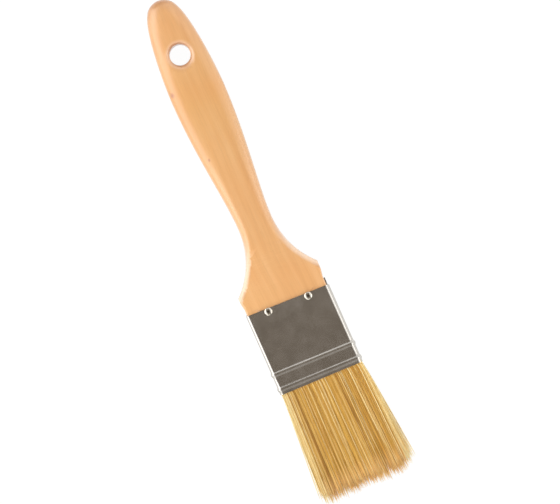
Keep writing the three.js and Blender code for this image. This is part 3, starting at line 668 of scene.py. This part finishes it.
def plane_flare(piece):
    """Planes the long edges off the flare, with a cone about the middle of each hollow."""
    head = [vertex.co.z for vertex in piece.data.vertices
            if ferrule_low.x - HEAD_SEEN < vertex.co.x < ferrule_low.x]
    fall = math.tan(FLARE_BEVEL_SLOPE)
    for x, y in hollow_middles:
        for face, up in ((max(head), 1), (min(head), -1)):
            deselect_all()
            bpy.ops.mesh.primitive_cone_add(
                vertices=240, radius1=FLARE_RADIUS - CONE_SPARE,
                radius2=FLARE_RADIUS + FLARE_BEVEL + CONE_SPARE,
                depth=(FLARE_BEVEL + 2 * CONE_SPARE) * fall,
                location=(x, y, face - up * FLARE_BEVEL / 2 * fall),
                rotation=(0 if up > 0 else math.pi, 0, 0))
            cone = bpy.context.object
            pick(piece)
            bpy.ops.object.modifier_add(type="BOOLEAN")
            piece.modifiers[-1].object = cone
            piece.modifiers[-1].operation = "DIFFERENCE"
            bpy.ops.object.modifier_apply(modifier=piece.modifiers[-1].name)
            bpy.data.objects.remove(cone)
    bpy.ops.object.shade_smooth_by_angle(angle=math.radians(HANDLE_CREASE))
    return piece


handle = keep_flats_flat(plane_flare(copy_of("handle", "beech_handle", HANDLE_CREASE)))
finish_piece(handle, beech(), "handle_wood", "handle")
ferrule = keep_flats_flat(copy_of("ferrule", "wrapped_ferrule", FERRULE_CREASE))
finish_piece(ferrule, tinned_steel(), "ferrule_steel", "ferrule")
nail_finish = bright_nail()
for node in NAIL_NODES:
    nail = copy_of(node, "driven_" + node, NAIL_CREASE)
    low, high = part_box(node)
    nail_middle = (low + high) / 2
    nail_radius = (high.x - low.x) / 2
    # how far out each point of the head is, as a share of the head's radius
    nail.data.attributes.new("off_middle", "FLOAT", "POINT").data.foreach_set("value", [
        (vertex.co - nail_middle).xy.length / nail_radius for vertex in nail.data.vertices])
    finish_piece(nail, nail_finish, "nail_steel", node)
nodes["root_setting"].data.materials[0] = setting_resin()
nodes["spacer_strip"].data.materials[0] = sawn_wood()


# ---------- Bristles ----------

HAIRS_IN_LAYER = (4500, 2200, 2200, 4500)  # the outer two layers show most
HAIR_THICKNESS = 0.26 * MM  # coarse hog bristle, drawn a little thick so that single hairs show
# Where a hair can bend, as shares of its length from the root
HAIR_STATIONS = (0.0, 0.08, 0.19, 0.36, 0.58, 0.78, 0.92, 1.0)
# Thickness at each station, as a share of the hair's own: it thins most over its last fifth
HAIR_TAPER = (1.0, 1.0, 1.0, 0.98, 0.95, 0.9, 0.74, 0.15)
ROOT_INSIDE = 2.0 * MM  # hairs are seen from this far inside the mouth
MOUTH_SLANT = 0.5 * MM  # the ferrule's mouth edge runs this far past its front's middle
SHEET = 0.4 * MM
BEAD = 0.45 * MM
HALF_BORE_WIDTH = 19 * MM - SHEET  # inside the ferrule, from its middle to its side
AT_MOUTH, IN_MOUTH = 0.1 * MM, 0.2 * MM  # hairs keep this far off the sheet there

# The tuft's body: it swells a little as it leaves the ferrule, and widens evenly to the tips
SWELL_AT = 4.5 * MM
SWELL = {"left": -0.3 * MM, "right": 0.6 * MM}  # how far each side stands out by there
BODY_INSIDE = {"left": 2.1 * MM, "right": 2.8 * MM}  # how far inside the outline it ends
SWELL_DEPTH = 5.9 * MM  # half of its thickness there, and at the tips
TIP_DEPTH = 4.7 * MM
LOOSE_SHARE = {"left": 0.03, "right": 0.07}  # of the hairs by the sides, that stand off the body
LOOSE_REACH = {"left": 1.9 * MM, "right": 3.6 * MM}

# Locks: neighbouring hairs cling together, and thin gaps open between them for a stretch
LOCKS_ACROSS = 64
LOCK_UNEVEN = 0.42  # how far a lock's edge strays, as a share of a lock's width
GAP_WIDEST = 0.38 * MM
GAP_STARTS = (-0.1, 0.7)  # shares of the free length past the mouth that a gap opens at
GAP_LENGTHS = (0.35, 0.9)  # and that it stays open for
INNER_GAPS = 0.25  # how much of a gap's width the inner layers have
GROOVE = 0.5 * MM  # how deep the gaps' edges sink
LOCK_LEAN = 0.10 * MM
LOCK_RISE = 0.05 * MM
LOCK_LENGTHS = 1.3 * MM  # how much shorter one lock may be than another
GATHERED = 0.95  # how far the outer layers' locks draw together at their tips
GATHERED_LEAST = 0.3  # the least that one of them does, as a share of that
INNER_GATHERED = 0.3  # and how much less the inner layers' locks do
GATHER_FROM = 0.6

# Single hairs
HAIR_LEAN = 0.2 * MM
LEAN_ABOUT = 0.35  # share of the free length that a leaning hair turns about
HAIR_RISE = 0.08 * MM
HAIR_SIZES = (0.75, 1.2)  # shares of the hair's thickness
ODD_SHADE = 0.34  # hairs whose shade is further than this from a half show most,
ODD_SIZE = 0.5  # and are thicker by this share
BY_SIDE = 0.9  # past this share of the way from the middle to a side, hairs may stand off
CROSSING_SHARE = 0.045  # hairs that run aslant over the others
CROSSING_LEAN = 1.3 * MM
TIP_PAST = 1.3 * MM  # how far the longest hairs pass the outline
SHORT = 3.8 * MM  # how far short of those most hairs end
RAGGED = 0.8 * MM
LONG_SHARE = 0.2  # hairs that end anywhere between the longest and the rest
BACK_SHORTER = 3.0 * MM  # the tips slant through the tuft: the back's are this much shorter
WORN = {"left": 0.5 * MM, "right": 3.1 * MM}  # and at the tuft's two corners
# Shares of the way from the middle to a side that its tips are worn from and it gets thinner from
WORN_FROM = 0.8
THINNER_FROM, THINNER_BY = 0.85, 0.12
LAYER_SEED, LOCK_SEED = 40, 11

# Shades, from 0 for dark to 1 for pale
GROUPS_ACROSS, GROUPS_DEEP = 130, 8  # hairs that lie together are alike
MIDDLE_SHADE = 0.46
GROUP_SPREAD, HAIR_SPREAD = 0.05, 0.2
PALE_SHARE, PALE_SHADES = 0.10, (0.85, 1.0)
DARK_SHARE, DARK_SHADES = 0.09, (0.0, 0.15)
SIDE_PAINTED_LIGHT, SIDE_PAINTED_LIGHT_SPAN = 0.6, (0.86, 0.98)  # painted light by the sides: how much, and between which shares of the way


def hair_template():
    """One bristle, modelled once, whose length and half thickness are 1: a three-sided rod along X,
    extruded station by station, closed at its tip and open at its root inside the ferrule."""
    deselect_all()
    bpy.ops.mesh.primitive_circle_add(
        vertices=3, radius=1, fill_type="NOTHING", rotation=(0, math.radians(90), 0))
    hair = bpy.context.object
    settle(hair)
    bpy.ops.object.mode_set(mode="EDIT")
    bpy.ops.mesh.select_all(action="SELECT")
    for start, end in zip(HAIR_STATIONS, HAIR_STATIONS[1:]):
        bpy.ops.mesh.extrude_region_move(TRANSFORM_OT_translate={"value": (end - start, 0, 0)})
    bpy.ops.mesh.edge_face_add()
    bpy.ops.mesh.select_all(action="SELECT")
    bpy.ops.mesh.normals_make_consistent(inside=False)
    bpy.ops.object.mode_set(mode="OBJECT")
    points = np.array([vertex.co for vertex in hair.data.vertices])
    faces = [list(polygon.vertices) for polygon in hair.data.polygons]
    bpy.data.objects.remove(hair)
    return points, faces


def of_side(pair, across):
    """The left or the right value for each hair, by the side that it is on."""
    return np.where(across < 0, pair["left"], pair["right"])


def body_edge(side, out, swell_share):
    """Where the tuft's body ends on one side, at shares of its free length past the mouth."""
    sign = -1 if side == "left" else 1
    half_mouth = HALF_BORE_WIDTH - AT_MOUTH
    outline = tuft_low.y if side == "left" else tuft_high.y
    half_tip = sign * (outline - ferrule_middle) - BODY_INSIDE[side]
    swollen = SWELL[side] * (1 - np.clip(1 - out / swell_share, 0, 1) ** 3)
    half = half_mouth + swollen + (half_tip - half_mouth - SWELL[side]) * out
    return ferrule_middle + sign * half


def tip_lengths(rng, across, depth, side):
    """How far short of the tuft's end each hair stops."""
    count = len(across)
    past_corner = np.interp(np.abs(across), (WORN_FROM, 1), (0, 1))
    short = of_side(WORN, across) * past_corner ** 2.2
    short += BACK_SHORTER * (1 - side * depth) / 2
    own = np.maximum(rng.normal(SHORT, RAGGED, count), 0)
    longer = rng.uniform(size=count) < LONG_SHARE
    return short + np.where(longer, rng.uniform(0, SHORT, count), own)


def hair_shades(rng, across, depth):
    """A shade for each hair, alike among the few that lie together, with some pale and dark ones,
    and painted paler by the two sides for the light that comes through them there."""
    count = len(across)
    group = np.floor((across + 1) / 2 * GROUPS_ACROSS) * GROUPS_DEEP + np.floor(depth * GROUPS_DEEP)
    group = group.astype(int)
    shade = MIDDLE_SHADE + rng.normal(0, GROUP_SPREAD, group.max() + 1)[group]
    shade += rng.normal(0, HAIR_SPREAD, count)
    kind = rng.uniform(size=count)
    shade = np.where(kind < PALE_SHARE, rng.uniform(*PALE_SHADES, count), shade)
    shade = np.where(kind > 1 - DARK_SHARE, rng.uniform(*DARK_SHADES, count), shade)
    side_lit_through = np.interp(np.abs(across), SIDE_PAINTED_LIGHT_SPAN, (0, 1))
    return np.clip(shade + SIDE_PAINTED_LIGHT * side_lit_through, 0, 1)


def lay_locks(rng, outer):
    """The locks of one layer, from left to right. How wide and how long they are is the same in all
    layers. The gaps at their edges, and how each lock leans and rises, are the layer's own."""
    shared = np.random.default_rng(LOCK_SEED)
    edges = np.arange(LOCKS_ACROSS + 1, dtype=float)
    edges += shared.uniform(-LOCK_UNEVEN, LOCK_UNEVEN, LOCKS_ACROSS + 1)
    edges = np.clip(edges / LOCKS_ACROSS * 2 - 1, -1, 1)
    edges[0], edges[-1] = -1, 1
    short = shared.uniform(0, LOCK_LENGTHS, LOCKS_ACROSS)
    gap_width = GAP_WIDEST * rng.beta(1.1, 2.2, LOCKS_ACROSS + 1) * (1 if outer else INNER_GAPS)
    gap_width[0] = gap_width[-1] = 0
    gap_start = rng.uniform(*GAP_STARTS, LOCKS_ACROSS + 1)
    gap_length = rng.uniform(*GAP_LENGTHS, LOCKS_ACROSS + 1)
    lean = rng.normal(0, LOCK_LEAN, LOCKS_ACROSS)
    rise = rng.normal(0, LOCK_RISE, LOCKS_ACROSS)
    gather = shared.uniform(GATHERED_LEAST, 1, LOCKS_ACROSS) * GATHERED
    gather *= 1 if outer else INNER_GATHERED
    return {
        "edges": edges, "short": short, "lean": lean, "rise": rise, "gather": gather,
        "gap_width": gap_width, "gap_start": gap_start, "gap_length": gap_length,
    }


def gap_at(locks, edge, out):
    """How wide the gap at a lock's edge is open, at shares of the tuft's free length."""
    reached = (out - locks["gap_start"][edge][:, None]) / locks["gap_length"][edge][:, None]
    return locks["gap_width"][edge][:, None] * np.sin(math.pi * np.clip(reached, 0, 1)) ** 0.7


def hair_lines(rng, layer):
    """The middle line of each hair in a layer, at every station, and the hairs' shades."""
    count = HAIRS_IN_LAYER[layer]
    outer = layer in (0, len(BRISTLE_NODES) - 1)
    side = 1 if layer < 2 else -1
    mouth = ferrule_high.x - MOUTH_SLANT
    tip = tuft_high.x + TIP_PAST
    free = tip - mouth
    swell_share = SWELL_AT / free
    across = rng.permutation((np.arange(count) + rng.uniform(size=count)) / count) * 2 - 1
    # Depth from the tuft's middle, 0, to its face, 1. Outer layers are densest at the face.
    depth = rng.uniform(size=count)
    depth = 0.5 + 0.5 * depth ** 0.7 if outer else 0.5 * depth
    locks = lay_locks(rng, outer)
    edges = locks["edges"]
    lock = np.clip(np.searchsorted(edges, across) - 1, 0, LOCKS_ACROSS - 1)

    # Along the brush, from inside the mouth to the hair's own end
    ends = tip - locks["short"][lock] - tip_lengths(rng, across, depth, side)
    start = mouth - ROOT_INSIDE
    xs = start + (ends - start)[:, None] * np.array(HAIR_STATIONS)[None, :]
    out = np.clip((xs - mouth) / free, 0, 1)

    # Within its lock a hair is pushed away from both gaps, and sinks beside them
    place = ((across - edges[lock]) / (edges[lock + 1] - edges[lock]))[:, None]
    before, after = gap_at(locks, lock, out), gap_at(locks, lock + 1, out)
    push = before / 2 * (1 - place) ** 3 - after / 2 * place ** 3
    sink = GROOVE / GAP_WIDEST * (before * (1 - place) ** 8 + after * place ** 8)
    gather = np.clip((out - GATHER_FROM) / (1 - GATHER_FROM), 0, 1)
    gather = locks["gather"][lock][:, None] * gather
    sink += GROOVE * gather * np.abs(2 * place - 1) ** 3

    # Across the brush: its place in the tuft's body, then its lock's and its own straying
    low = body_edge("left", out, swell_share)
    high = body_edge("right", out, swell_share)
    crossing = rng.uniform(size=count) < CROSSING_SHARE
    lean = rng.normal(0, np.where(crossing, CROSSING_LEAN, HAIR_LEAN), count)[:, None]
    loose = np.abs(across) > BY_SIDE
    loose = loose & (rng.uniform(size=count) < of_side(LOOSE_SHARE, across))
    across = np.where(loose, np.sign(across), across)
    stand_off = np.sign(across) * loose * rng.uniform(size=count) ** 1.6
    stand_off = (stand_off * of_side(LOOSE_REACH, across))[:, None]
    ys = low + (high - low) * (across[:, None] + 1) / 2
    lock_width = (high - low) * (edges[lock + 1] - edges[lock])[:, None] / 2
    ys += (0.5 - place) * lock_width * gather + push + stand_off * out ** 0.9
    room = (1 - across ** 6)[:, None]  # by the sides a hair leans less
    ys += (locks["lean"][lock][:, None] * out + lean * (out - LEAN_ABOUT)) * room
    # inside the ferrule's mouth the hairs lie side by side
    in_mouth = ferrule_middle + across[:, None] * (HALF_BORE_WIDTH - IN_MOUTH)
    ys = np.where(xs < mouth, in_mouth, ys)

    # Through its thickness: rounder at the corners, with the crossing hairs on top
    half_bore = (ferrule_high.z - ferrule_low.z) / 2 - BEAD - SHEET
    half_depth = np.interp(out, [0, swell_share, 1], [half_bore, SWELL_DEPTH, TIP_DEPTH])
    by_corner = np.interp(np.abs(across), (THINNER_FROM, 1), (0, 1))[:, None]
    rounded = 1 - THINNER_BY * out * by_corner ** 2
    on_top = np.where(crossing & outer, np.maximum(depth, 0.97), depth)[:, None]
    rise = (locks["rise"][lock] + rng.normal(0, HAIR_RISE, count))[:, None] * out
    zs = mid_height + side * (on_top * half_depth * rounded + rise - sink)
    return xs, ys, zs, hair_shades(rng, across, depth)


def bristle_layer(name, layer, material):
    """One of the tuft's four layers, from the front: a copy of the one bristle for each hair,
    bent along that hair's line."""
    rng = np.random.default_rng(LAYER_SEED + layer)
    points, faces = hair_template()
    xs, ys, zs, shades = hair_lines(rng, layer)
    count = len(xs)
    station_of = np.abs(points[:, 0][:, None] - np.array(HAIR_STATIONS)[None, :]).argmin(axis=1)
    size = rng.uniform(*HAIR_SIZES, count) + ODD_SIZE * (np.abs(shades - 0.5) > ODD_SHADE)
    twist = rng.uniform(0, 2 * math.pi, count)[:, None]
    corner_y, corner_z = points[:, 1][None], points[:, 2][None]
    radius = HAIR_THICKNESS / 2 * np.array(HAIR_TAPER)[station_of][None] * size[:, None]
    placed = np.stack([
        xs[:, station_of],
        ys[:, station_of] + radius * (corner_y * np.cos(twist) - corner_z * np.sin(twist)),
        zs[:, station_of] + radius * (corner_y * np.sin(twist) + corner_z * np.cos(twist)),
    ], axis=2)
    step = len(points)
    all_faces = [
        [corner + hair * step for corner in face] for hair in range(count) for face in faces]
    mesh = bpy.data.meshes.new(name)
    mesh.from_pydata(placed.reshape(-1, 3).tolist(), [], all_faces)
    # the rod is smooth and its end is flat, so that the end doesn't tip the rod's shading
    mesh.polygons.foreach_set("use_smooth", [len(face) == 4 for face in all_faces])
    mesh.attributes.new("shade", "FLOAT", "POINT").data.foreach_set(
        "value", np.repeat(shades, step).astype(np.float32))
    mesh.attributes.new("along", "FLOAT", "POINT").data.foreach_set(
        "value", np.tile(points[:, 0], count).astype(np.float32))
    mesh.update()
    piece = bpy.data.objects.new(name, mesh)
    scene.collection.objects.link(piece)
    finish_piece(piece, material, "bristle", BRISTLE_NODES[layer])


hair_finish = bristle()
for layer, node in enumerate(BRISTLE_NODES):
    bristle_layer("hair_" + node, layer, hair_finish)
